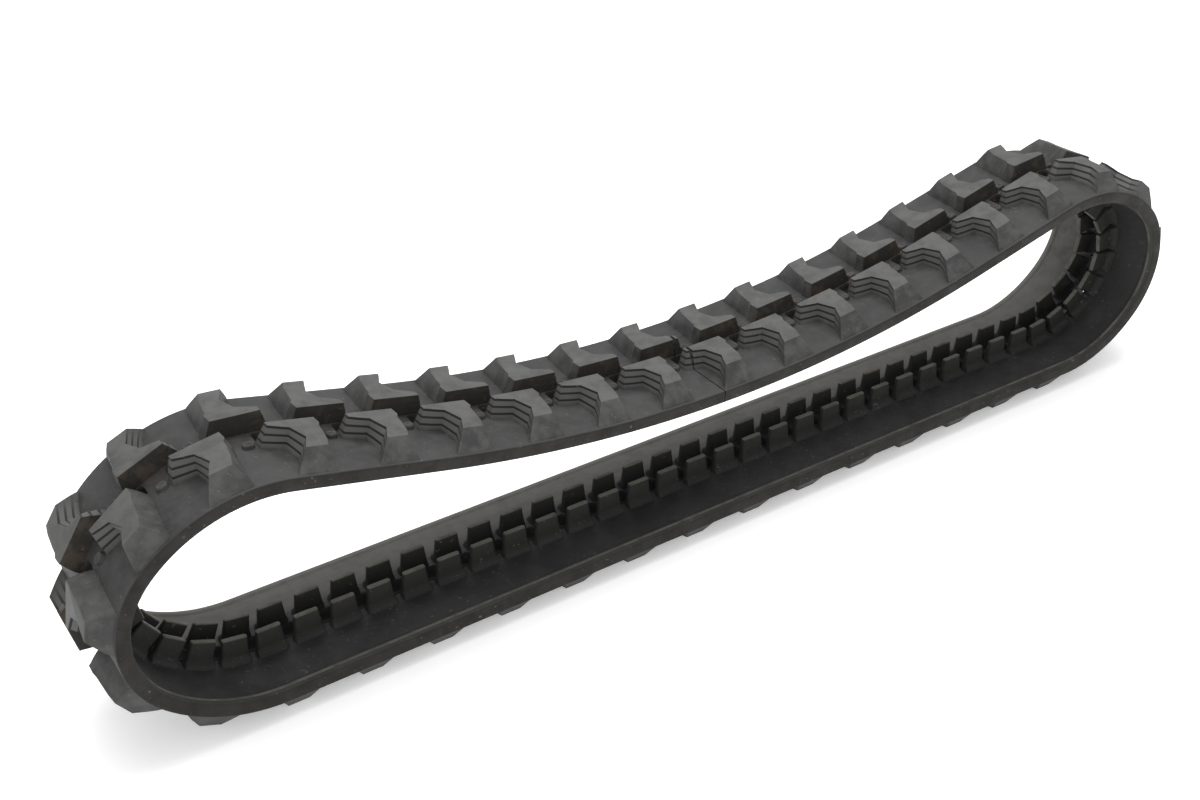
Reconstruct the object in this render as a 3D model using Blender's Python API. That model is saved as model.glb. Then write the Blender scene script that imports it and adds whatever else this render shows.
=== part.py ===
"""Endless rubber track for a mini excavator: 230 mm wide, 74 links, lying on its bottom run.

The belt is a chain of links round a closed loop in the X-Z plane.  Every link holds one steel core iron with two
staggered guide horns on the roller side and one tread lug on the ground side, alternately in front and behind.
Two steel cord bands run round the loop just outside the irons.  The loop is cut into fifteen stiff sections, each
hinged to the next on the cord line, so that it can flex as the real belt does.
"""

import math

import bmesh
import bpy
from mathutils import Matrix, Vector

# Driving dimensions, in metres and degrees.
PITCH = 0.056
BELT_HALF_WIDTH = 0.115
RUN_LINKS = 27
END_SECTIONS = 5
LINKS_PER_END_SECTION = 2
TOP_SECTIONS = (7, 7, 6, 7)

NOSE_RADIUS = 0.141
SHOULDER_RADIUS = 0.224
NOSE_HALF_ANGLE = 45.0
DROOP_ANGLE = 13.5
SAG_DEPTH = 0.1135

# Depths are measured outwards from the roller surface, across the belt's thickness.
CORD_LINE = 0.0113
CARCASS_DEPTH = 0.020
IRON_DEPTHS = (0.0033, 0.0097)
POCKET_DEPTHS = (0.0030, 0.0100)
CORD_DEPTHS = (0.0103, 0.0123)
CHANNEL_DEPTHS = (0.0100, 0.0126)
LUG_TOP = 0.049
HORN_HEIGHT = 0.039

# Along one link, from its middle.
WINDOW_EDGE = 0.0155
POCKET_EDGE = 0.0130
IRON_EDGE = 0.0127

# Across the belt, from its centreline.
WINDOW_HALF_WIDTH = 0.015
NOSE_BAR_SPAN = (0.0343, 0.0457)
BAR_SLOT_SPAN = (0.0340, 0.0460)
WING_TIP = 0.0837
CORD_SPAN = (0.0343, 0.0837)
CHANNEL_SPAN = (0.0340, 0.0840)

# Clearance between two sections: a flat gap at the cord line that opens into a wedge on each side.  The two inner
# top sections only meet; their facing ends, 0 for the first and 1 for the last, stand further apart.
HINGE_GAP = 0.0004
OPEN_GAP = 0.0010
OPEN_ENDS = {"top_right_inner": 1, "top_left_inner": 0}
INNER_WEDGE = math.tan(math.radians(3.6))
OUTER_WEDGE = math.tan(math.radians(6.6))
LUG_LIMIT = 0.47 * PITCH
SUNK = 0.001

CORD_HEIGHT = LUG_TOP - CORD_LINE


def arc_rise(radius, degrees):
    return radius * (1.0 - math.cos(math.radians(degrees)))


def arc_run(radius, degrees):
    return radius * math.sin(math.radians(degrees))


def loop_pieces():
    """Length and curvature of each stretch of the cord line, from the middle of the bottom run, anticlockwise."""
    half_end = (NOSE_RADIUS + SHOULDER_RADIUS) * math.radians(NOSE_HALF_ANGLE)
    overhang = half_end - END_SECTIONS * LINKS_PER_END_SECTION * PITCH / 2
    half_flat = RUN_LINKS * PITCH / 2 - overhang
    droop = math.radians(DROOP_ANGLE)
    # The droop arc, a straight and half the sag arc span half the run and fall by the sag.
    slack_rise = 1.0 - math.cos(droop)
    radii = (SAG_DEPTH - half_flat * math.tan(droop)) / (slack_rise - math.sin(droop) * math.tan(droop))
    straight = (half_flat - radii * math.sin(droop)) / math.cos(droop)
    sag_radius = radii - SHOULDER_RADIUS
    nose = math.radians(NOSE_HALF_ANGLE)
    shoulder = math.pi / 2 - nose
    return [
        (half_flat, 0.0),
        (SHOULDER_RADIUS * shoulder, 1 / SHOULDER_RADIUS),
        (NOSE_RADIUS * 2 * nose, 1 / NOSE_RADIUS),
        (SHOULDER_RADIUS * (shoulder + droop), 1 / SHOULDER_RADIUS),
        (straight, 0.0),
        (sag_radius * 2 * droop, -1 / sag_radius),
        (straight, 0.0),
        (SHOULDER_RADIUS * (droop + shoulder), 1 / SHOULDER_RADIUS),
        (NOSE_RADIUS * 2 * nose, 1 / NOSE_RADIUS),
        (SHOULDER_RADIUS * shoulder, 1 / SHOULDER_RADIUS),
        (half_flat, 0.0),
    ]


PIECES = loop_pieces()
LOOP_LENGTH = sum(length for length, _ in PIECES)
END_LENGTH = END_SECTIONS * LINKS_PER_END_SECTION * PITCH
TOP_LENGTH = LOOP_LENGTH - RUN_LINKS * PITCH - 2 * END_LENGTH


def loop_frame(distance):
    """Point on the cord line, direction of travel and direction towards the rollers, at a distance round the loop."""
    left = distance % LOOP_LENGTH
    x, z, heading = 0.0, CORD_HEIGHT, 0.0
    for length, curvature in PIECES:
        step = min(left, length)
        if curvature == 0.0:
            x += step * math.cos(heading)
            z += step * math.sin(heading)
        else:
            turned = heading + step * curvature
            x += (math.sin(turned) - math.sin(heading)) / curvature
            z += (math.cos(heading) - math.cos(turned)) / curvature
            heading = turned
        left -= step
        if left <= 0.0:
            break
    along = Vector((math.cos(heading), 0.0, math.sin(heading)))
    inward = Vector((-along.z, 0.0, along.x))
    return Vector((x, 0.0, z)), along, inward


def section_plan():
    """Name, start, link length and first link number of each section, anticlockwise from the bottom run."""
    plan = [("bottom_run", -RUN_LINKS * PITCH / 2, PITCH, 0, RUN_LINKS)]
    at, link = RUN_LINKS * PITCH / 2, RUN_LINKS
    for number in range(END_SECTIONS):
        plan.append((f"right_end_{number + 1}", at, PITCH, link, LINKS_PER_END_SECTION))
        at += LINKS_PER_END_SECTION * PITCH
        link += LINKS_PER_END_SECTION
    top_pitch = TOP_LENGTH / RUN_LINKS
    for name, count in zip(("top_right_outer", "top_right_inner", "top_left_inner", "top_left_outer"), TOP_SECTIONS):
        plan.append((name, at, top_pitch, link, count))
        at += count * top_pitch
        link += count
    for number in range(END_SECTIONS):
        plan.append((f"left_end_{END_SECTIONS - number}", at, PITCH, link, LINKS_PER_END_SECTION))
        at += LINKS_PER_END_SECTION * PITCH
        link += LINKS_PER_END_SECTION
    return plan


def place(frame, along, across, depth):
    """World point from a frame on the cord line, a distance along it, across the belt, and a depth."""
    point, forward, inward = frame
    return point + forward * along + inward * (CORD_LINE - depth) + Vector((0.0, across, 0.0))


def end_gap(depth, flat_gap):
    wedge = INNER_WEDGE if depth < CORD_LINE else OUTER_WEDGE
    return flat_gap + abs(depth - CORD_LINE) * wedge


def link_frames(start, pitch, count):
    return [loop_frame(start + (link + 0.5) * pitch) for link in range(count)]


def stations(section, edges):
    """Cross-sections of a section of belt: a frame, an offset along it, the way its end gap opens and how wide."""
    name, start, pitch, _, count = section
    gaps = [OPEN_GAP if OPEN_ENDS.get(name) == end else HINGE_GAP for end in (0, 1)]
    rows = [(loop_frame(start), 0.0, 1, gaps[0])]
    for middle in link_frames(start, pitch, count):
        rows += [(middle, edge, 0, 0.0) for edge in edges]
    rows.append((loop_frame(start + count * pitch), 0.0, -1, gaps[1]))
    return rows


def solid_from_cells(name, rows, across, depths, filled):
    """Closed mesh of the filled cells of a grid that follows the belt; only faces next to an empty cell are made."""
    mesh = bmesh.new()
    points = {}

    def vertex(i, j, k):
        if (i, j, k) not in points:
            frame, along, gap_side, gap = rows[i]
            offset = along + gap_side * end_gap(depths[k], gap)
            points[i, j, k] = mesh.verts.new(place(frame, offset, across[j], depths[k]))
        return points[i, j, k]

    size = (len(rows) - 1, len(across) - 1, len(depths) - 1)

    def is_filled(i, j, k):
        inside = 0 <= i < size[0] and 0 <= j < size[1] and 0 <= k < size[2]
        return inside and filled(i, j, k)

    corners = {
        (-1, 0, 0): ((0, 0, 0), (0, 0, 1), (0, 1, 1), (0, 1, 0)),
        (1, 0, 0): ((1, 0, 0), (1, 1, 0), (1, 1, 1), (1, 0, 1)),
        (0, -1, 0): ((0, 0, 0), (1, 0, 0), (1, 0, 1), (0, 0, 1)),
        (0, 1, 0): ((0, 1, 0), (0, 1, 1), (1, 1, 1), (1, 1, 0)),
        (0, 0, -1): ((0, 0, 0), (0, 1, 0), (1, 1, 0), (1, 0, 0)),
        (0, 0, 1): ((0, 0, 1), (1, 0, 1), (1, 1, 1), (0, 1, 1)),
    }
    for i in range(size[0]):
        for j in range(size[1]):
            for k in range(size[2]):
                if not is_filled(i, j, k):
                    continue
                for (di, dj, dk), ring in corners.items():
                    if not is_filled(i + di, j + dj, k + dk):
                        mesh.faces.new([vertex(i + a, j + b, k + c) for a, b, c in ring])
    bmesh.ops.recalc_face_normals(mesh, faces=mesh.faces)
    return object_from(name, mesh)


def object_from(name, mesh):
    data = bpy.data.meshes.new(name)
    mesh.to_mesh(data)
    mesh.free()
    return bpy.data.objects.new(name, data)


def both_sides(*values):
    return sorted([-value for value in values] + list(values))


def between(lines, index, low, high):
    middle = (lines[index] + lines[index + 1]) / 2
    return low < middle < high


def rubber_carcass(section):
    count = section[4]
    rows = stations(section, (-WINDOW_EDGE, -POCKET_EDGE, POCKET_EDGE, WINDOW_EDGE))
    across = both_sides(WINDOW_HALF_WIDTH, *BAR_SLOT_SPAN, CHANNEL_SPAN[1], BELT_HALF_WIDTH)
    depths = (0.0, *POCKET_DEPTHS, CHANNEL_DEPTHS[1], CARCASS_DEPTH)

    def filled(i, j, k):
        side = abs(across[j] + across[j + 1]) / 2
        in_window = i % 4 == 0
        in_pocket = i % 4 == 2
        between_irons = 2 < i < 4 * count - 2
        if in_window and side < WINDOW_HALF_WIDTH:
            return False
        if k == 1 and in_pocket and side < CHANNEL_SPAN[1]:
            return False
        if k == 1 and between_irons and BAR_SLOT_SPAN[0] < side < BAR_SLOT_SPAN[1]:
            return False
        return not (k == 2 and CHANNEL_SPAN[0] < side < CHANNEL_SPAN[1])

    return solid_from_cells(f"rubber_{section[0]}", rows, across, depths, filled)


def iron_wings(section):
    """The wings and bridges of a section's core irons, linked by the interlocking noses between neighbours."""
    count = section[4]
    rows = stations(section, (-WINDOW_EDGE, -IRON_EDGE, IRON_EDGE, WINDOW_EDGE))
    across = both_sides(*NOSE_BAR_SPAN, WING_TIP)

    def filled(i, j, k):
        side = abs(across[j] + across[j + 1]) / 2
        in_iron = i % 4 == 2
        between_irons = 2 < i < 4 * count - 2
        return in_iron or (between_irons and NOSE_BAR_SPAN[0] < side < NOSE_BAR_SPAN[1])

    return solid_from_cells(f"core_irons_{section[0]}", rows, across, IRON_DEPTHS, filled)


def cord_band(section, which, side):
    rows = stations(section, (-WINDOW_EDGE, WINDOW_EDGE))
    across = sorted((side * CORD_SPAN[0], side * CORD_SPAN[1]))
    return solid_from_cells(f"{which}_cord_{section[0]}", rows, across, CORD_DEPTHS, lambda i, j, k: True)


def frustum(mesh, frame, base, top, turned):
    """Adds a closed block between two outlines of (along, across, depth) points; turned spins it half a turn."""
    sign = -1.0 if turned else 1.0
    rings = []
    for outline in (base, top):
        ring = [place(frame, sign * along, sign * across, depth) for along, across, depth in outline]
        rings.append([mesh.verts.new((point.x, point.y, max(point.z, 0.0))) for point in ring])
    lower, upper = rings
    faces = [mesh.faces.new(lower), mesh.faces.new(upper)]
    for index in range(len(lower)):
        following = (index + 1) % len(lower)
        faces.append(mesh.faces.new((lower[index], lower[following], upper[following], upper[index])))
    bmesh.ops.recalc_face_normals(mesh, faces=faces)


def rectangle(along, across, depth):
    return [(a, b, depth) for a, b in ((along[0], across[0]), (along[1], across[0]), (along[1], across[1]),
                                       (along[0], across[1]))]


# The front horn of a link; the back one is the same, turned half a turn about the link's middle.
HORN_BASE = rectangle((-0.0244, 0.0066), (-0.0310, -0.0160), SUNK)
HORN_TOP = rectangle((-0.0236, 0.0041), (-0.0275, -0.0185), -HORN_HEIGHT)

# The front lug's plateau: corners along and across in pitches, and how far the flank of the edge that starts at each
# corner spreads by the time it reaches the belt.
LUG_PLATEAU = (
    (0.60, -0.44, 0.14),
    (0.15, -0.64, 0.13),
    (-0.03, -1.14, 0.20),
    (0.17, -1.62, 0.36),
    (-0.42, -1.62, 0.20),
    (-0.54, -0.72, 0.14),
    (-0.66, -0.58, 0.10),
    (-0.64, -0.27, 0.02),
    (0.62, -0.27, 0.14),
)


def spread_outline(outline):
    """Corners of an outline whose edges have each been moved outwards by their own distance."""
    spread = []
    for index, (along, across, distance) in enumerate(outline):
        last_along, last_across, last_distance = outline[index - 1]
        next_along, next_across, _ = outline[(index + 1) % len(outline)]
        last_edge = Vector((along - last_along, across - last_across)).normalized()
        edge = Vector((next_along - along, next_across - across)).normalized()
        # The outline runs clockwise, so the outward side of an edge is on its left.
        last_out = Vector((-last_edge.y, last_edge.x))
        out = Vector((-edge.y, edge.x))
        turn = last_out.x * out.y - last_out.y * out.x
        move_x = (last_distance * out.y - distance * last_out.y) / turn
        move_y = (distance * last_out.x - last_distance * out.x) / turn
        spread.append((along + move_x, across + move_y))
    return spread


LUG_FOOT = spread_outline(LUG_PLATEAU)


def add_lug(mesh, frame, turned, reach):
    """One lug, cut off where it would reach past the end of its section; reach is how far it may go each way."""
    low, high = (-reach[1], reach[0]) if turned else (-reach[0], reach[1])

    def outline(corners, depth):
        return [(min(max(corner[0] * PITCH, low), high), corner[1] * PITCH, depth) for corner in corners]

    frustum(mesh, frame, outline(LUG_FOOT, CARCASS_DEPTH - SUNK), outline(LUG_PLATEAU, LUG_TOP), turned)


def horns_and_lugs(section):
    name, start, pitch, first_link, count = section
    mesh = bmesh.new()
    tight_bend = count == LINKS_PER_END_SECTION
    for number, frame in enumerate(link_frames(start, pitch, count)):
        for turned in (False, True):
            frustum(mesh, frame, HORN_BASE, HORN_TOP, turned)
        back_reach = LUG_LIMIT if tight_bend or number == 0 else PITCH
        front_reach = LUG_LIMIT if tight_bend or number == count - 1 else PITCH
        add_lug(mesh, frame, (first_link + number) % 2 == 1, (back_reach, front_reach))
    return object_from(f"horns_and_lugs_{name}", mesh)


def grow(target, addition):
    addition.display_type = "WIRE"
    addition.hide_render = True
    modifier = target.modifiers.new("Horns and lugs", "BOOLEAN")
    modifier.operation = "UNION"
    modifier.solver = "EXACT"
    modifier.object = addition


def material(name, colour, roughness, metallic):
    made = bpy.data.materials.new(name)
    made.use_nodes = True
    shader = made.node_tree.nodes["Principled BSDF"]
    shader.inputs["Base Color"].default_value = (*colour, 1.0)
    shader.inputs["Roughness"].default_value = roughness
    shader.inputs["Metallic"].default_value = metallic
    return made


def collection(name):
    made = bpy.data.collections.new(name)
    bpy.context.scene.collection.children.link(made)
    return made


def finish_mesh(thing):
    """Applies the modifiers and merges flat neighbouring faces, so the solid has no needless edges."""
    depsgraph = bpy.context.evaluated_depsgraph_get()
    applied = bpy.data.meshes.new_from_object(thing.evaluated_get(depsgraph))
    thing.modifiers.clear()
    thing.data = applied
    mesh = bmesh.new()
    mesh.from_mesh(applied)
    bmesh.ops.remove_doubles(mesh, verts=mesh.verts, dist=0.00001)
    bmesh.ops.dissolve_limit(mesh, angle_limit=math.radians(0.2), verts=mesh.verts, edges=mesh.edges)
    bmesh.ops.triangulate(mesh, faces=mesh.faces)
    mesh.to_mesh(applied)
    mesh.free()


def remove(thing):
    bpy.data.objects.remove(thing, do_unlink=True)


def hinge_distance(section):
    """Where round the loop a section's hinge is: at the end that faces the bottom run."""
    name, start, pitch, _, count = section
    return start + count * pitch if "left" in name else start


def hang_on_hinge(pieces, section, parts):
    """Parents a section's pieces to an empty on its hinge; the bottom run carries the others and has none."""
    hinge = bpy.data.objects.new(f"hinge_{section[0]}", None)
    hinge.location = loop_frame(hinge_distance(section))[0]
    hinge.empty_display_size = 0.02
    parts.objects.link(hinge)
    for piece in pieces:
        piece.parent = hinge
        piece.matrix_parent_inverse = Matrix.Translation(-hinge.location)


def build_section(section, parts, tools, materials):
    rubber = rubber_carcass(section)
    irons = iron_wings(section)
    front = cord_band(section, "front", -1)
    back = cord_band(section, "back", 1)
    pieces = (rubber, irons, front, back)
    for piece, kind in zip(pieces, ("rubber", "iron", "cord", "cord")):
        parts.objects.link(piece)
        piece.data.materials.append(materials[kind])
    addition = horns_and_lugs(section)
    tools.objects.link(addition)
    grow(rubber, addition)
    for piece in pieces:
        finish_mesh(piece)
    remove(addition)
    if section[0] != "bottom_run":
        hang_on_hinge(pieces, section, parts)


def main():
    for thing in list(bpy.data.objects):
        remove(thing)
    materials = {
        "rubber": material("black_rubber", (0.030, 0.030, 0.028), 0.72, 0.0),
        "iron": material("cast_iron", (0.16, 0.155, 0.15), 0.55, 1.0),
        "cord": material("brass_coated_steel_cord", (0.42, 0.34, 0.20), 0.45, 1.0),
    }
    parts = collection("rubber_track")
    tools = collection("cutters")
    for section in section_plan():
        build_section(section, parts, tools, materials)


main()
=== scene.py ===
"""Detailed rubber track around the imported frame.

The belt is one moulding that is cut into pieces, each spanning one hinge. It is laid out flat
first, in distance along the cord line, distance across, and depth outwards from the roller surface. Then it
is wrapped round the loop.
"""
import math

import bmesh
import bpy
from mathutils import Matrix, Vector
from mathutils.geometry import delaunay_2d_cdt


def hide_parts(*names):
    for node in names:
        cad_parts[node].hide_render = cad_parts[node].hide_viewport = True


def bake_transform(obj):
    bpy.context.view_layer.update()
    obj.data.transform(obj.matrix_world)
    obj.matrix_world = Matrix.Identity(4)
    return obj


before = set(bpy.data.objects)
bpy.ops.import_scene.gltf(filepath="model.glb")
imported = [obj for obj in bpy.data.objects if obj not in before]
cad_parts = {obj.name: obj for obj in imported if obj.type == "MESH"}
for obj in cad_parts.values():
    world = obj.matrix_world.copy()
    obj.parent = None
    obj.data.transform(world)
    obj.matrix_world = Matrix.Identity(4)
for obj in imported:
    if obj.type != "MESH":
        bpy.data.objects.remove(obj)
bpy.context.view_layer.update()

# The loop, in metres and degrees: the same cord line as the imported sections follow.
PITCH = 0.056
RUN_LINKS = 27
END_LINKS = 10
NOSE_RADIUS = 0.141
SHOULDER_RADIUS = 0.224
NOSE_HALF_ANGLE = 45.0
DROOP_ANGLE = 13.5
SAG_DEPTH = 0.1135
CORD_LINE = 0.0113
CARCASS_DEPTH = 0.020
LUG_TOP = 0.049
CORD_HEIGHT = LUG_TOP - CORD_LINE

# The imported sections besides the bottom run: even ones round each end, and the top ones with their links.
END_SECTIONS = 5
END_SECTION_LINKS = END_LINKS // END_SECTIONS
TOP_SECTIONS = (("top_right_outer", 7), ("top_right_inner", 7), ("top_left_inner", 6), ("top_left_outer", 7))


def loop_pieces():
    """Length and curvature of each stretch of the cord line, anticlockwise from the bottom run's middle."""
    nose = math.radians(NOSE_HALF_ANGLE)
    shoulder = math.pi / 2 - nose
    droop = math.radians(DROOP_ANGLE)
    overhang = NOSE_RADIUS * nose + SHOULDER_RADIUS * shoulder - END_LINKS * PITCH / 2
    half_flat = RUN_LINKS * PITCH / 2 - overhang
    slack_rise = 1.0 - math.cos(droop)
    both_radii = (SAG_DEPTH - half_flat * math.tan(droop)) / (slack_rise - math.sin(droop) * math.tan(droop))
    straight = (half_flat - both_radii * math.sin(droop)) / math.cos(droop)
    sag_radius = both_radii - SHOULDER_RADIUS
    return [
        (half_flat, 0.0),
        (SHOULDER_RADIUS * shoulder, 1 / SHOULDER_RADIUS),
        (NOSE_RADIUS * 2 * nose, 1 / NOSE_RADIUS),
        (SHOULDER_RADIUS * (shoulder + droop), 1 / SHOULDER_RADIUS),
        (straight, 0.0),
        (sag_radius * 2 * droop, -1 / sag_radius),
        (straight, 0.0),
        (SHOULDER_RADIUS * (droop + shoulder), 1 / SHOULDER_RADIUS),
        (NOSE_RADIUS * 2 * nose, 1 / NOSE_RADIUS),
        (SHOULDER_RADIUS * shoulder, 1 / SHOULDER_RADIUS),
        (half_flat, 0.0),
    ]


PIECES = loop_pieces()
LOOP_LENGTH = sum(length for length, _ in PIECES)
TOP_PITCH = (LOOP_LENGTH - (RUN_LINKS + 2 * END_LINKS) * PITCH) / RUN_LINKS

# Frames that loop_frame has already worked out, by distance.
frames_seen = {}


def loop_frame(distance):
    """The cord line's point, its direction of travel and the direction towards the rollers, at a distance."""
    key = round(distance % LOOP_LENGTH, 6)
    if key in frames_seen:
        return frames_seen[key]
    left = key
    x, z, heading = 0.0, CORD_HEIGHT, 0.0
    for length, curvature in PIECES:
        step = min(left, length)
        if curvature == 0.0:
            x += step * math.cos(heading)
            z += step * math.sin(heading)
        else:
            turned = heading + step * curvature
            x += (math.sin(turned) - math.sin(heading)) / curvature
            z += (math.cos(heading) - math.cos(turned)) / curvature
            heading = turned
        left -= step
        if left <= 0.0:
            break
    along = Vector((math.cos(heading), 0.0, math.sin(heading)))
    inward = Vector((-along.z, 0.0, along.x))
    frames_seen[key] = (Vector((x, 0.0, z)), along, inward)
    return frames_seen[key]


def link_starts():
    """Where each link starts round the loop; link 13 has its core at distance 0."""
    starts = []
    at = -RUN_LINKS * PITCH / 2
    for pitch, count in ((PITCH, RUN_LINKS + END_LINKS), (TOP_PITCH, RUN_LINKS), (PITCH, END_LINKS)):
        for _ in range(count):
            starts.append(at)
            at += pitch
    return starts + [at]


STARTS = link_starts()
LINKS = len(STARTS) - 1
CORES = [(STARTS[i] + STARTS[i + 1]) / 2 for i in range(LINKS)]

# Stations round the loop where the belt's surface has a row of points: six to a link. The flat belt and the
# features on it run a little past both ends of the loop, so that the ends meet.
STATION_SHARES = (0.0, 0.17, 0.33, 0.5, 0.67, 0.83)
STATION_OVERLAP = 1.5 * PITCH
FEATURE_OVERLAP = 1.2 * PITCH


def all_stations():
    """Station distances over one loop and the overlap beyond each end of it."""
    once = []
    for start, end in zip(STARTS, STARTS[1:]):
        once += [start + (end - start) * share for share in STATION_SHARES]
    again = [distance + turn * LOOP_LENGTH for turn in (-1, 0, 1) for distance in once]
    return sorted(d for d in again if -STATION_OVERLAP < d < LOOP_LENGTH + STATION_OVERLAP)


STATIONS = all_stations()

# The belt's edge in section: distance across and depth, from the roller side round to the ground side.
EDGE_PROFILE = (
    (0.0985, 0.0000),
    (0.1000, -0.0004),
    (0.1016, -0.0016),
    (0.1040, -0.0022),
    (0.1085, -0.0022),
    (0.1108, -0.0014),
    (0.1126, 0.0004),
    (0.1137, 0.0030),
    (0.1142, 0.0060),
    (0.1150, 0.0165),
    (0.1148, 0.0183),
    (0.1140, 0.0195),
    (0.1128, 0.0200),
)

# Rings up a guide horn's sides, for the front one: half length, half thickness, how far its middle is towards
# the edge of the belt, and depth. Above its stiff height a horn keeps its shape where the belt is curved.
HORN_CENTRE = (-0.185 * PITCH, -0.400 * PITCH)
HORN_RINGS = (
    (0.0236, 0.0098, 0.0036, 0.0000),
    (0.0231, 0.0092, 0.0034, -0.0035),
    (0.0226, 0.0086, 0.0030, -0.0064),
    (0.0219, 0.0072, 0.0018, -0.0086),
    (0.0211, 0.0058, 0.0005, -0.0110),
    (0.0205, 0.0053, 0.0000, -0.0160),
    (0.0182, 0.0043, 0.0000, -0.0368),
    (0.0176, 0.0038, 0.0000, -0.0383),
    (0.0162, 0.0027, 0.0000, -0.0390),
)
HORN_CORNER = 0.0045
HORN_STIFF_HEIGHT = 0.030

# Rings down through a sprocket window, from its raised rim on the roller side: half length, half width and
# depth.
WINDOW_RINGS = (
    (0.0148, 0.0147, 0.0000),
    (0.0142, 0.0141, -0.0020),
    (0.0133, 0.0134, -0.0026),
    (0.0125, 0.0126, -0.0012),
    (0.0112, 0.0112, 0.0165),
    (0.0124, 0.0124, 0.0200),
)
WINDOW_CORNER = 0.0050

# The front lug's outline in pitches: corners of its plateau, of its foot, and how far each corner's flank is
# stepped (1) or plain (0).
LUG_CORNERS = (
    ((0.620, -0.270), (0.780, -0.255), 0.8),
    ((-0.020, -0.265), (-0.020, -0.250), 0.0),
    ((-0.600, -0.265), (-0.700, -0.250), 0.0),
    ((-0.620, -0.560), (-0.720, -0.620), 0.0),
    ((-0.550, -0.670), (-0.660, -0.760), 0.0),
    ((-0.530, -0.900), (-0.660, -1.000), 0.0),
    ((-0.460, -1.350), (-0.620, -1.420), 0.0),
    ((-0.360, -1.620), (-0.580, -1.960), 0.0),
    ((0.180, -1.620), (0.460, -1.970), 0.0),
    ((0.090, -1.400), (0.260, -1.560), 0.8),
    ((-0.035, -1.140), (0.180, -1.330), 1.0),
    ((0.060, -0.880), (0.200, -0.980), 1.0),
    ((0.150, -0.640), (0.240, -0.720), 1.0),
    ((0.400, -0.540), (0.500, -0.660), 1.0),
    ((0.610, -0.440), (0.770, -0.570), 1.0),
)
LUG_HEIGHT = LUG_TOP - CARCASS_DEPTH

# How fast a lug stiffens with its height: it is fully stiff from 1 / 1.2 of its height upwards.
LUG_STIFFENING = 1.2

# A stepped flank's corners from foot to top, as shares of the way in and of the height: the outer and the
# inner edge of each of three steps.
STEP_SHARES = ((0.29, 0.21), (0.33, 0.33), (0.62, 0.54), (0.66, 0.66), (0.95, 0.87), (0.99, 0.985))

# The plateau's rim lies this far inside its outline, towards the plateau's middle; both are in pitches.
LUG_MIDDLE = (-0.22, -0.95)
LUG_RIM = 0.022

# The small curled ridge beside a front lug's lowest step: its middle in pitches, and the rings over it (half
# length and half width in pitches, and height in metres).
CURL_CENTRE = (0.965, -0.385)
CURL_RINGS = (
    (0.150, 0.120, 0.0000),
    (0.138, 0.108, 0.0044),
    (0.112, 0.084, 0.0060),
    (0.080, 0.056, 0.0056),
    (0.060, 0.036, 0.0043),
)
CURL_CORNER = 0.0060

# Points closer together than this are one point.
MERGE_DISTANCE = 0.00003


def corner_arc(half_length, half_width, radius, steps=3):
    """Outline of a rectangle with rounded corners about the origin."""
    outline = []
    for quarter in range(4):
        middle_x = (half_length - radius) * (1 if quarter in (0, 3) else -1)
        middle_y = (half_width - radius) * (1 if quarter in (0, 1) else -1)
        for step in range(steps + 1):
            angle = math.pi / 2 * (quarter + step / steps)
            outline.append((middle_x + radius * math.cos(angle), middle_y + radius * math.sin(angle)))
    return outline


def horn_rings():
    """A front horn's rings, base to top, as (along, across, depth, stiffness, steppedness) about its link."""
    rings = []
    for half_length, half_thickness, lean, depth in HORN_RINGS:
        radius = min(HORN_CORNER, half_thickness * 0.8)
        outline = corner_arc(half_length, half_thickness, radius)
        stiffness = min(1.0, -depth / HORN_STIFF_HEIGHT)
        along, across = HORN_CENTRE[0], HORN_CENTRE[1] - lean
        rings.append([(along + x, across + y, depth, stiffness, 0.0) for x, y in outline])
    return rings


def window_rings():
    """A sprocket window's rings about a link's start, from the roller side to the ground side."""
    rings = []
    for half_length, half_width, depth in WINDOW_RINGS:
        outline = corner_arc(half_length, half_width, WINDOW_CORNER)
        rings.append([(x, y, depth, 0.0, 0.0) for x, y in outline])
    return rings


def curl_rings():
    """A front lug's curled ridge as rings about its link, from the foot up."""
    rings = []
    for half_length, half_width, height in CURL_RINGS:
        corner = min(CURL_CORNER, half_width * PITCH * 0.95)
        outline = corner_arc(half_length * PITCH, half_width * PITCH, corner)
        across, along = CURL_CENTRE[1] * PITCH, CURL_CENTRE[0] * PITCH
        rings.append([(along + x, across + y, CARCASS_DEPTH + height, 0.0, 0.0) for x, y in outline])
    return rings


def lug_point(top, foot, stepped, rise, run):
    """A point on a lug's flank: rise is its share of the height, run its share of the way in."""
    along = foot[0] + (top[0] - foot[0]) * run
    across = foot[1] + (top[1] - foot[1]) * run
    stiffness = min(1.0, rise * LUG_STIFFENING)
    stepped = stepped if rise > 0.0 else 0.0
    return along * PITCH, across * PITCH, CARCASS_DEPTH + LUG_HEIGHT * rise, stiffness, stepped


def lug_rings():
    """Rings up a lug: three steps where its flank is stepped, an even slope elsewhere, then its rim."""
    levels = [(0.0, 0.0)] + [(run, rise) for run, rise in STEP_SHARES]
    rings = []
    for run, rise in levels:
        ring = []
        for top, foot, stepped in LUG_CORNERS:
            inward = rise + (run - rise) * stepped
            ring.append(lug_point(top, foot, stepped, rise, inward))
        rings.append(ring)
    rim = []
    for top, foot, _ in LUG_CORNERS:
        inset = Vector(top) + (Vector(LUG_MIDDLE) - Vector(top)).normalized() * LUG_RIM
        rim.append(lug_point(inset, foot, 0.0, 1.0, 1.0))
    return rings + [rim]


def crossings(outline):
    """Places on an outline that need a point: its corners, and where a station crosses one of its edges."""
    places = []
    for index, first in enumerate(outline):
        second = outline[(index + 1) % len(outline)]
        places.append((index, 0.0))
        reach = second[0] - first[0]
        if abs(reach) > 1e-6:
            shares = ((station - first[0]) / reach for station in stations_near(first[0], second[0]))
            places += [(index, share) for share in sorted(shares) if 1e-3 < share < 1.0 - 1e-3]
    return places


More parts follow.
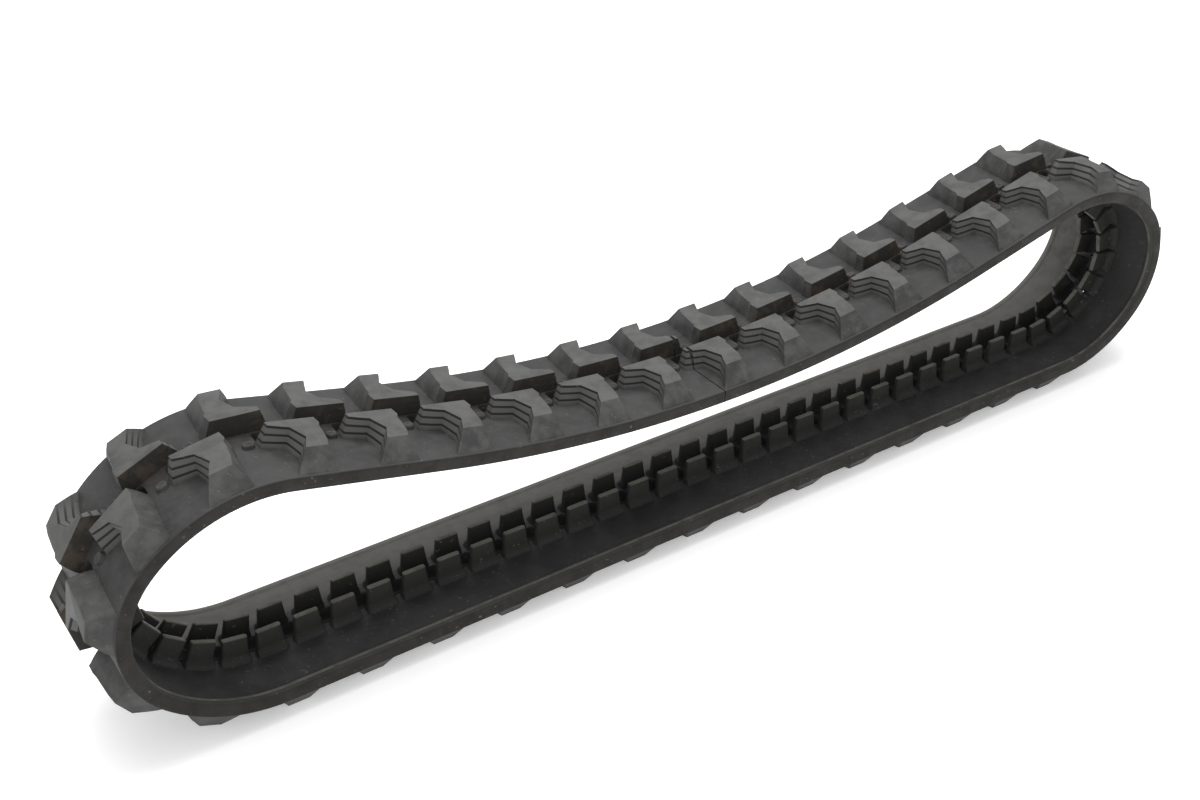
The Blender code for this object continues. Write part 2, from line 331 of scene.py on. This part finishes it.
def stations_near(first, second):
    """The stations between two distances."""
    low, high = min(first, second), max(first, second)
    return [station for station in STATIONS if low < station < high]


def at_places(ring, places):
    """The ring's points at these places, each a corner's number and a share of the way to the next corner."""
    points = []
    for index, share in places:
        following = ring[(index + 1) % len(ring)]
        points.append(tuple(a + (b - a) * share for a, b in zip(ring[index], following)))
    return points


def laid_out(rings, core, turned):
    """Rings about a link's middle as flat points: (distance, across, depth, core, stiffness, steppedness)."""
    sign = -1.0 if turned else 1.0
    placed = [[(core + sign * x, sign * y, depth, core, stiff, steps) for x, y, depth, stiff, steps in ring]
              for ring in rings]
    places = crossings(placed[0])
    return [at_places(ring, places) for ring in placed]


def features(centres, rings_for):
    """Every copy of a feature, with the copies that reach past an end of the loop laid out at both ends."""
    found = []
    for number, centre in enumerate(centres):
        centre %= LOOP_LENGTH
        for turn in (-1, 0, 1):
            at = centre + turn * LOOP_LENGTH
            if -FEATURE_OVERLAP < at < LOOP_LENGTH + FEATURE_OVERLAP:
                for rings, turned in rings_for(number):
                    found.append((laid_out(rings, at, turned), turn == 0))
    return found


def sheet(depth, half_width, holes):
    """Triangles of a flat surface of the belt around its holes, as lists of three flat points."""
    points, edges, faces = [], [], []
    for station in STATIONS:
        points += [(station, -half_width), (station, half_width)]
        edges.append((len(points) - 2, len(points) - 1))
    for ring in holes:
        first = len(points)
        points += [(flat[0], flat[1]) for flat in ring]
        faces.append(list(range(first, len(points))))
    made = delaunay_2d_cdt([Vector(point) for point in points], edges, faces, 0, 1e-7)
    corners, triangles, inside = made[0], made[2], made[5]
    kept = []
    for triangle, holes_it_is_in in zip(triangles, inside):
        middle = sum(corners[corner].x for corner in triangle) / len(triangle)
        if not holes_it_is_in and 0.0 < middle < LOOP_LENGTH:
            kept.append([(corners[corner].x, corners[corner].y, depth, 0.0, 0.0, 0.0) for corner in triangle])
    return kept


def wrapped(flat):
    """The place on the loop of a flat point; stiff points keep to their core's own straight frame."""
    distance, across, depth, core, stiffness, _ = flat
    point, _, inward = loop_frame(distance)
    place = point + inward * (CORD_LINE - depth)
    if stiffness > 0.0:
        point, along, inward = loop_frame(core)
        stiff_place = point + along * (distance - core) + inward * (CORD_LINE - depth)
        place = place.lerp(stiff_place, stiffness)
    return Vector((place.x, across, max(place.z, 0.0)))


class Skin:
    """The belt's surface as it is put together: flat points go in and become faces round the loop.

    The vertex layers belt and steps keep each point's flat place and steppedness for the material.
    """

    def __init__(self):
        self.mesh = bmesh.new()
        self.belt = self.mesh.verts.layers.float_vector.new("belt")
        self.steps = self.mesh.verts.layers.float.new("steps")

    def add(self, flats):
        """One face through these flat points."""
        corners = []
        for flat in flats:
            corner = self.mesh.verts.new(wrapped(flat))
            corner[self.belt] = (flat[0] % LOOP_LENGTH, flat[1], flat[2])
            corner[self.steps] = flat[5]
            corners.append(corner)
        self.mesh.faces.new(corners)

    def add_walls(self, rings):
        """A band of faces from each ring to the next."""
        for lower, upper in zip(rings, rings[1:]):
            for index in range(len(lower)):
                following = (index + 1) % len(lower)
                self.add([lower[index], lower[following], upper[following], upper[index]])

    def add_edge(self, side):
        """The belt's rounded edge on one side, all the way round."""
        around = [station for station in STATIONS if -1e-6 < station < LOOP_LENGTH + 1e-6]
        rows = [[(station, side * y, depth, 0.0, 0.0, 0.0) for y, depth in EDGE_PROFILE]
                for station in around]
        for row, next_row in zip(rows, rows[1:]):
            for index in range(len(EDGE_PROFILE) - 1):
                self.add([row[index], next_row[index], next_row[index + 1], row[index + 1]])

    def joined(self):
        """The finished mesh, with points that lie together made one."""
        bmesh.ops.remove_doubles(self.mesh, verts=self.mesh.verts, dist=MERGE_DISTANCE)
        bmesh.ops.recalc_face_normals(self.mesh, faces=self.mesh.faces)
        return self.mesh


def belt_mesh():
    """The whole belt as one closed mesh."""
    horn, lug, curl, window = horn_rings(), lug_rings(), curl_rings(), window_rings()
    horns = features(CORES, lambda number: [(horn, False), (horn, True)])
    lugs = features(CORES, lambda number: [(lug, number % 2 == 1)])
    curls = features(CORES, lambda number: [(curl, number % 2 == 1)])
    windows = features(STARTS[:-1], lambda number: [(window, False)])
    inner_holes = [rings[0] for rings, _ in horns + windows]
    outer_holes = [rings[0] for rings, _ in lugs + curls] + [rings[-1] for rings, _ in windows]
    inner_sheet = sheet(0.0, EDGE_PROFILE[0][0], inner_holes)
    outer_sheet = sheet(CARCASS_DEPTH, EDGE_PROFILE[-1][0], outer_holes)

    skin = Skin()
    for triangle in inner_sheet + outer_sheet:
        skin.add(triangle)
    for rings, once in horns + lugs + curls:
        if once:
            skin.add_walls(rings)
            skin.add(rings[-1])
    for rings, once in windows:
        if once:
            skin.add_walls(rings)
    for side in (-1.0, 1.0):
        skin.add_edge(side)
    return skin.joined()


# The belt is cut into pieces at the middles of links: at the core that is the loop's start, and once in each
# body. Every piece spans the hinge at a link's start, between its parent body and its own body. At the open
# pivot both pieces end at the start of the same link instead, each a gap short of it, and their ends slope
# back from the cord line.
LOOP_START = RUN_LINKS // 2
OPEN_LINK = RUN_LINKS + END_LINKS + sum(links for _, links in TOP_SECTIONS[:2])
OPEN_GAP = 0.0004
OPEN_WEDGE = math.radians(3.3)

# Faces that meet at a steeper angle than this are shaded with a sharp edge.
SHARP_ANGLE = math.radians(28)


def belt_cuts():
    """Each piece's body, parent body, hinge distance, first cut and last cut."""
    cuts = []
    parent, cut = "bottom_run", CORES[LOOP_START]
    link = RUN_LINKS
    end_sections = [(f"right_end_{number}", END_SECTION_LINKS) for number in range(1, END_SECTIONS + 1)]
    for body, count in end_sections + list(TOP_SECTIONS[:2]):
        last = STARTS[OPEN_LINK] - OPEN_GAP if link + count == OPEN_LINK else CORES[link + count // 2]
        cuts.append((body, parent, STARTS[link], cut, last))
        parent, cut = body, last
        link += count
    parent, cut = "bottom_run", CORES[LOOP_START] + LOOP_LENGTH
    link = LINKS
    end_sections = [(f"left_end_{number}", END_SECTION_LINKS) for number in range(1, END_SECTIONS + 1)]
    for body, count in end_sections + list(TOP_SECTIONS[:1:-1]):
        first = STARTS[OPEN_LINK] + OPEN_GAP if link - count == OPEN_LINK else CORES[link - 1 - count // 2]
        cuts.append((body, parent, STARTS[link], first, cut))
        parent, cut = body, first
        link -= count
    return cuts


def cap(mesh, distance, outward, tilt):
    """Cuts the mesh across at a distance round the loop, drops what lies beyond, and closes the cut."""
    point, along, inward = loop_frame(distance)
    normal = (along * math.cos(tilt) + inward * math.sin(tilt)) * outward
    everything = mesh.verts[:] + mesh.edges[:] + mesh.faces[:]
    plane = {"plane_co": point, "plane_no": normal}
    cut = bmesh.ops.bisect_plane(mesh, geom=everything, dist=1e-6, clear_outer=True, **plane)
    rim = [edge for edge in cut["geom_cut"] if isinstance(edge, bmesh.types.BMEdge) and edge.is_valid]
    rim = [edge for edge in rim if len(edge.link_faces) == 1]
    bmesh.ops.triangle_fill(mesh, use_beauty=True, edges=rim, normal=normal)


def belt_piece(source, body, first, last):
    """The stretch of the belt between two cuts as an object."""
    mesh = source.copy()
    layer = mesh.verts.layers.float_vector["belt"]
    middle, reach = (first + last) / 2, (last - first) / 2 + STATION_OVERLAP
    spare = []
    for face in mesh.faces:
        at = face.verts[0][layer].x
        away = (at - middle + LOOP_LENGTH / 2) % LOOP_LENGTH - LOOP_LENGTH / 2
        if abs(away) > reach:
            spare.append(face)
    bmesh.ops.delete(mesh, geom=spare, context="FACES")
    for distance, outward in ((first, -1.0), (last, 1.0)):
        at_open_pivot = abs(distance - STARTS[OPEN_LINK]) < 2 * OPEN_GAP
        for tilt in (OPEN_WEDGE, -OPEN_WEDGE) if at_open_pivot else (0.0,):
            cap(mesh, distance, outward, tilt)
    bmesh.ops.recalc_face_normals(mesh, faces=mesh.faces)
    data = bpy.data.meshes.new(f"belt_{body}")
    mesh.to_mesh(data)
    mesh.free()
    piece = bpy.data.objects.new(f"belt_{body}", data)
    bpy.context.scene.collection.objects.link(piece)
    data.shade_smooth()
    data.set_sharp_from_angle(angle=SHARP_ANGLE)
    return piece


def build_belt(rubber):
    """The belt's fourteen pieces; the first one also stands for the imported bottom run."""
    source = belt_mesh()
    for body, parent, hinge, first, last in belt_cuts():
        piece = belt_piece(source, body, first, last)
        piece.data.materials.append(rubber)
        point, along, _ = loop_frame(hinge)
        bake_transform(piece)
        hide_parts(f"rubber_{body}")
        if body == "right_end_1":
            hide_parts("rubber_bottom_run")
    source.free()


# Colours of the rubber, of the dust, wear and mud on it, and of the light and shade painted on it.
RUBBER_DARK = (0.020, 0.020, 0.020)
RUBBER_PALE = (0.032, 0.032, 0.032)
PATH_DUST = (0.100, 0.097, 0.091)
HORN_SIDES = (0.015, 0.0150, 0.0135)
HORN_TOPS = (0.100, 0.094, 0.078)
# The bead's crest: pale wear, with a painted highlight in it.
BEAD_WEAR_AND_HIGHLIGHT = (0.105, 0.100, 0.082)
# Dust on the tread and wear on the plateaus, both paler partly as painted top light.
TREAD_DUST_AND_LIGHT = (0.074, 0.074, 0.072)
PLATEAU_WEAR_AND_LIGHT = (0.092, 0.092, 0.090)
# Painted light on the lugs' stepped flanks, and painted shade on their risers.
PAINTED_STEP_LIGHT = (0.102, 0.102, 0.099)
PAINTED_RISER_SHADE = (0.016, 0.016, 0.016)
LUG_INNER_END = (0.026, 0.023, 0.019)
MUD = (0.060, 0.048, 0.037)
# Painted shade on the belt's side faces.
PAINTED_EDGE_SHADE = (0.013, 0.0115, 0.0090)
SPECKS = (0.125, 0.118, 0.105)

# Where those colours lie on the flat belt, in metres: where each one begins, and where it is full.
FAR_SIDE = (0.020, 0.060)
PATH_ACROSS = (0.034, 0.040)
PATH_DEPTH = (0.006, 0.002)
HORN_ACROSS = (0.038, 0.032)
HORN_DEPTH = (-0.003, -0.009)
HORN_TOP_DEPTH = (-0.0366, -0.0388)
BEAD_MIDDLE = 0.1066
BEAD_REACH = (0.0034, 0.0014)
BEAD_DEPTH = (0.0005, -0.0012)
TREAD_DEPTH = (CARCASS_DEPTH - 0.0005, CARCASS_DEPTH + 0.0005)
PLATEAU_DEPTH = (LUG_TOP - 0.0007, LUG_TOP - 0.0002)
RISER_REACH = (0.0021, 0.0012)
INNER_END_ACROSS = (0.0170, 0.0160)
GROOVE_ACROSS = (0.024, 0.016)
EDGE_SHADE_ACROSS = (0.1118, 0.1132)
EDGE_SHADE_DEPTH = (CARCASS_DEPTH - 0.0004, CARCASS_DEPTH - 0.0020)

# The spacing of the steel cords, and how strongly the floor glows.
CORD_SPACING = 0.0025
FLOOR_GLOW = 0.28


class Shader:
    """A material's node tree with short calls for the nodes used here."""

    def __init__(self, name):
        self.material = bpy.data.materials.new(name)
        self.material.use_nodes = True
        self.tree = self.material.node_tree
        self.surface = self.tree.nodes["Principled BSDF"]

    def node(self, kind, **settings):
        made = self.tree.nodes.new(kind)
        for key, value in settings.items():
            setattr(made, key, value)
        return made

    def feed(self, socket, value):
        if isinstance(value, bpy.types.NodeSocket):
            self.tree.links.new(value, socket)
        elif isinstance(value, tuple) and len(value) == 3 and socket.type == "RGBA":
            socket.default_value = (*value, 1.0)
        else:
            socket.default_value = value

    def maths(self, operation, first, second=0.0, third=0.0):
        made = self.node("ShaderNodeMath", operation=operation)
        for socket, value in zip(made.inputs, (first, second, third)):
            self.feed(socket, value)
        return made.outputs[0]

    def times(self, first, second):
        return self.maths("MULTIPLY", first, second)

    def ramp(self, value, low, high, out_low=0.0, out_high=1.0):
        """A smooth step of a value from one level to another."""
        made = self.node("ShaderNodeMapRange", interpolation_type="SMOOTHSTEP")
        for socket, number in zip(made.inputs, (value, low, high, out_low, out_high)):
            self.feed(socket, number)
        return made.outputs[0]

    def noise(self, scale, detail=4.0, roughness=0.55, where=None):
        made = self.node("ShaderNodeTexNoise")
        made.inputs["Scale"].default_value = scale
        made.inputs["Detail"].default_value = detail
        made.inputs["Roughness"].default_value = roughness
        if where is not None:
            self.tree.links.new(where, made.inputs["Vector"])
        return made.outputs["Fac"]

    def mix(self, share, first, second):
        made = self.node("ShaderNodeMix", data_type="RGBA")
        self.feed(made.inputs["Factor"], share)
        self.feed(made.inputs["A"], first)
        self.feed(made.inputs["B"], second)
        return made.outputs["Result"]

    def place(self):
        return self.node("ShaderNodeTexCoord").outputs["Object"]

    def split(self, vector):
        parts = self.node("ShaderNodeSeparateXYZ")
        self.feed(parts.inputs[0], vector)
        return parts.outputs

    def bump(self, height, strength, distance, below=None):
        made = self.node("ShaderNodeBump")
        made.inputs["Strength"].default_value = strength
        made.inputs["Distance"].default_value = distance
        self.tree.links.new(height, made.inputs["Height"])
        if below is not None:
            self.tree.links.new(below, made.inputs["Normal"])
        return made.outputs["Normal"]


class Rubber(Shader):
    """The moulded rubber, coloured by a point's place on the flat belt and by noise of several sizes."""

    def __init__(self):
        super().__init__("moulded_rubber")
        where = self.place()
        self.broad = self.noise(9.0, 5.0, 0.6, where)
        self.patchy = self.noise(38.0, 6.0, 0.62, where)
        self.speckled = self.noise(150.0, 2.0, 0.5, where)
        self.fine = self.noise(420.0, 3.0, 0.6, where)
        flat = self.split(self.node("ShaderNodeAttribute", attribute_name="belt").outputs["Vector"])
        self.sideways = flat["Y"]
        self.across = self.maths("ABSOLUTE", self.sideways)
        self.depth = flat["Z"]
        self.tread = self.ramp(self.depth, *TREAD_DEPTH)
        self.plateau = self.ramp(self.depth, *PLATEAU_DEPTH)
        self.flanks = self.maths("SUBTRACT", self.tread, self.plateau)

    def near(self, value, middle, reach):
        """A share that is full close to a value and fades out over its reach."""
        away = self.maths("ABSOLUTE", self.maths("SUBTRACT", value, middle))
        return self.ramp(away, *reach)

    def roller_side(self, colour):
        """Dust on the far roller path, black horns with worn tops, and the edge bead's crest, paler from wear
        and from a painted highlight.
        """
        in_patches = self.times(self.ramp(self.sideways, *FAR_SIDE), self.ramp(self.patchy, 0.25, 0.70, 0.45, 1.0))
        path = self.times(self.ramp(self.across, *PATH_ACROSS), self.ramp(self.depth, *PATH_DEPTH))
        colour = self.mix(self.times(path, in_patches), colour, PATH_DUST)
        horn = self.times(self.ramp(self.depth, *HORN_DEPTH), self.ramp(self.across, *HORN_ACROSS))
        colour = self.mix(self.times(horn, 0.92), colour, HORN_SIDES)
        patch_level = self.ramp(self.patchy, 0.3, 0.6, 0.45, 1.0)
        colour = self.mix(self.times(self.ramp(self.depth, *HORN_TOP_DEPTH), patch_level), colour, HORN_TOPS)
        # The bead's crest is paler from wear and from a painted highlight.
        bead = self.near(self.across, BEAD_MIDDLE, BEAD_REACH)
        crest_wear_and_highlight = self.times(bead, self.ramp(self.depth, *BEAD_DEPTH))
        in_patches = self.ramp(self.patchy, 0.3, 0.62, 0.25, 0.95)
        return self.mix(self.times(crest_wear_and_highlight, in_patches), colour, BEAD_WEAR_AND_HIGHLIGHT)

    def ground_side(self, colour):
        """Dust on the tread and wear on the lug plateaus, made paler partly as painted light."""
        in_patches = self.ramp(self.patchy, 0.35, 0.70, 0.20, 0.95)
        colour = self.mix(self.times(self.tread, in_patches), colour, TREAD_DUST_AND_LIGHT)
        patch_level = self.ramp(self.patchy, 0.3, 0.75, 0.3, 0.8)
        return self.mix(self.times(self.plateau, patch_level), colour, PLATEAU_WEAR_AND_LIGHT)

    def painted_step_light_and_shade(self, colour):
        """Painted light on the stepped flanks, and a band of painted shade over each riser."""
        stepped = self.node("ShaderNodeAttribute", attribute_name="steps").outputs["Fac"]
        steps = self.times(stepped, self.flanks)
        colour = self.mix(self.times(steps, 0.85), colour, PAINTED_STEP_LIGHT)
        for below, above in zip(STEP_SHARES[::2], STEP_SHARES[1::2]):
            riser_depth = CARCASS_DEPTH + LUG_HEIGHT * (below[1] + above[1]) / 2
            # A band of painted shade over each riser.
            riser_shade = self.times(steps, self.near(self.depth, riser_depth, RISER_REACH))
            colour = self.mix(riser_shade, colour, PAINTED_RISER_SHADE)
        return colour

    def middle_groove(self, colour):
        """Dark inner ends of the lugs, with patches of dried mud between them."""
        inner_end = self.times(self.ramp(self.across, *INNER_END_ACROSS), self.flanks)
        colour = self.mix(self.times(inner_end, 0.85), colour, LUG_INNER_END)
        mud = self.times(self.ramp(self.patchy, 0.48, 0.62), self.ramp(self.broad, 0.36, 0.58))
        groove = self.times(self.ramp(self.across, *GROOVE_ACROSS), self.flanks)
        return self.mix(self.times(groove, self.times(mud, 0.9)), colour, MUD)

    def painted_edge_shade(self, colour):
        """Painted shade on the belt's side faces: a dark band along its edges."""
        side_shade = self.times(self.ramp(self.across, *EDGE_SHADE_ACROSS), self.ramp(self.depth, *EDGE_SHADE_DEPTH))
        return self.mix(self.times(side_shade, self.ramp(self.patchy, 0.3, 0.7, 0.75, 0.95)), colour, PAINTED_EDGE_SHADE)

    def specks(self, colour):
        """Small pale specks of dirt all over, in loose clouds."""
        speck = self.ramp(self.speckled, 0.66, 0.72)
        return self.mix(self.times(speck, self.ramp(self.broad, 0.40, 0.60, 0.05, 0.45)), colour, SPECKS)


def rubber_material():
    """Dull black rubber with the layers of dust, wear and mud over it, and painted light and shade."""
    made = Rubber()
    colour = made.mix(made.ramp(made.broad, 0.35, 0.68), RUBBER_DARK, RUBBER_PALE)
    for layer in (made.roller_side, made.ground_side, made.painted_step_light_and_shade, made.middle_groove, made.painted_edge_shade):
        colour = layer(colour)
    made.feed(made.surface.inputs["Base Color"], made.specks(colour))
    made.feed(made.surface.inputs["Roughness"], made.ramp(made.patchy, 0.25, 0.8, 0.52, 0.78))
    made.surface.inputs["Specular IOR Level"].default_value = 0.22
    soft = made.bump(made.patchy, 0.25, 0.0012)
    made.feed(made.surface.inputs["Normal"], made.bump(made.fine, 0.30, 0.0003, soft))
    return made.material


def iron_material():
    """Rough cast iron with patches of rust."""
    made = Shader("cast_core_iron")
    where = made.place()
    patchy = made.noise(60.0, 6.0, 0.65, where)
    colour = made.mix(made.ramp(patchy, 0.4, 0.7), (0.10, 0.095, 0.09), (0.16, 0.10, 0.07))
    made.feed(made.surface.inputs["Base Color"], colour)
    made.feed(made.surface.inputs["Roughness"], made.ramp(patchy, 0.3, 0.8, 0.5, 0.85))
    made.surface.inputs["Metallic"].default_value = 0.8
    made.feed(made.surface.inputs["Normal"], made.bump(patchy, 0.5, 0.0008))
    return made.material


def cord_material():
    """Parallel steel cords with a thin brass coat: fine ribs across the belt's width."""
    made = Shader("brass_coated_cord")
    where = made.place()
    ribs = made.maths("SINE", made.times(made.split(where)["Y"], 2 * math.pi / CORD_SPACING))
    patchy = made.noise(80.0, 4.0, 0.6, where)
    colour = made.mix(made.ramp(patchy, 0.4, 0.7), (0.42, 0.33, 0.18), (0.26, 0.22, 0.16))
    made.feed(made.surface.inputs["Base Color"], colour)
    made.feed(made.surface.inputs["Roughness"], made.ramp(patchy, 0.3, 0.8, 0.35, 0.6))
    made.surface.inputs["Metallic"].default_value = 1.0
    made.feed(made.surface.inputs["Normal"], made.bump(ribs, 0.8, 0.0006))
    return made.material


def floor_material():
    """A pale floor that glows a little, so that it stays as light as the photo's background."""
    made = Shader("pale_floor")
    patchy = made.noise(3.0, 3.0, 0.5, made.place())
    made.feed(made.surface.inputs["Base Color"], made.mix(patchy, (0.90, 0.90, 0.90), (0.93, 0.93, 0.93)))
    made.surface.inputs["Roughness"].default_value = 0.9
    made.surface.inputs["Emission Color"].default_value = (1.0, 1.0, 1.0, 1.0)
    made.surface.inputs["Emission Strength"].default_value = FLOOR_GLOW
    return made.material


# The photo's camera, in metres and degrees, fitted to the track's outline.
CAMERA_PLACE = Vector((-1.2236, -1.6160, 1.4285))
CAMERA_YAW = 32.965
CAMERA_PITCH = 31.624
CAMERA_ROLL = -1.00
CAMERA_LENS = 45.32

# The studio: the world's brightness, the floor's size and its depth below the track, and the two lights.
WORLD_STRENGTH = 0.85
FLOOR_HALF_SIZE = 8.0
FLOOR_DROP = 0.0005
OVERHEAD = {"place": (0.3, 0.6, 3.2), "target": (0.0, 0.0, 0.0), "size": (3.5, 3.0), "power": 110.0}
FRONT_FILL = {"place": (-2.5, -3.0, 2.0), "target": (0.0, 0.0, 0.1), "size": (2.0, 2.0), "power": 25.0}


def add_camera():
    """The camera at the photo's place, turned by its yaw, pitch and roll."""
    yaw, pitch, roll = (math.radians(angle) for angle in (CAMERA_YAW, CAMERA_PITCH, CAMERA_ROLL))
    forward = Vector((math.sin(yaw) * math.cos(pitch), math.cos(yaw) * math.cos(pitch), -math.sin(pitch)))
    level = Vector((math.cos(yaw), -math.sin(yaw), 0.0))
    upright = level.cross(forward)
    right = level * math.cos(roll) + upright * math.sin(roll)
    up = upright * math.cos(roll) - level * math.sin(roll)
    camera = bpy.data.objects.new("camera", bpy.data.cameras.new("camera"))
    camera.data.lens = CAMERA_LENS
    camera.data.sensor_width = 36.0
    turned = Matrix((right, up, -forward)).transposed().to_4x4()
    camera.matrix_world = Matrix.Translation(CAMERA_PLACE) @ turned
    bpy.context.scene.collection.objects.link(camera)
    bpy.context.scene.camera = camera


def add_area_light(name, place, target, size, power):
    """A rectangular light at a place, facing its target."""
    light = bpy.data.objects.new(name, bpy.data.lights.new(name, "AREA"))
    light.data.shape = "RECTANGLE"
    light.data.size, light.data.size_y = size
    light.data.energy = power
    light.location = place
    light.rotation_euler = (Vector(target) - Vector(place)).to_track_quat("-Z", "Y").to_euler()
    bpy.context.scene.collection.objects.link(light)


def add_floor():
    """The floor, a hair below the track's lowest points."""
    mesh = bmesh.new()
    bmesh.ops.create_grid(mesh, x_segments=4, y_segments=4, size=FLOOR_HALF_SIZE)
    data = bpy.data.meshes.new("floor")
    mesh.to_mesh(data)
    mesh.free()
    floor = bpy.data.objects.new("floor", data)
    floor.location.z = -FLOOR_DROP
    floor.data.materials.append(floor_material())
    bpy.context.scene.collection.objects.link(floor)


def add_studio():
    """White surroundings, two soft lights and the floor."""
    world = bpy.data.worlds.new("studio")
    world.use_nodes = True
    background = world.node_tree.nodes["Background"]
    background.inputs["Color"].default_value = (1.0, 1.0, 1.0, 1.0)
    background.inputs["Strength"].default_value = WORLD_STRENGTH
    bpy.context.scene.world = world
    add_area_light("overhead", **OVERHEAD)
    add_area_light("front_fill", **FRONT_FILL)
    add_floor()
    bpy.context.scene.view_settings.view_transform = "Standard"


def paint_hidden_nodes():
    """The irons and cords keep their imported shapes; only their material changes."""
    iron, cord = iron_material(), cord_material()
    for name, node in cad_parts.items():
        if name.startswith("rubber"):
            continue
        node.data.materials.clear()
        node.data.materials.append(iron if name.startswith("core_irons") else cord)


build_belt(rubber_material())
paint_hidden_nodes()
add_camera()
add_studio()
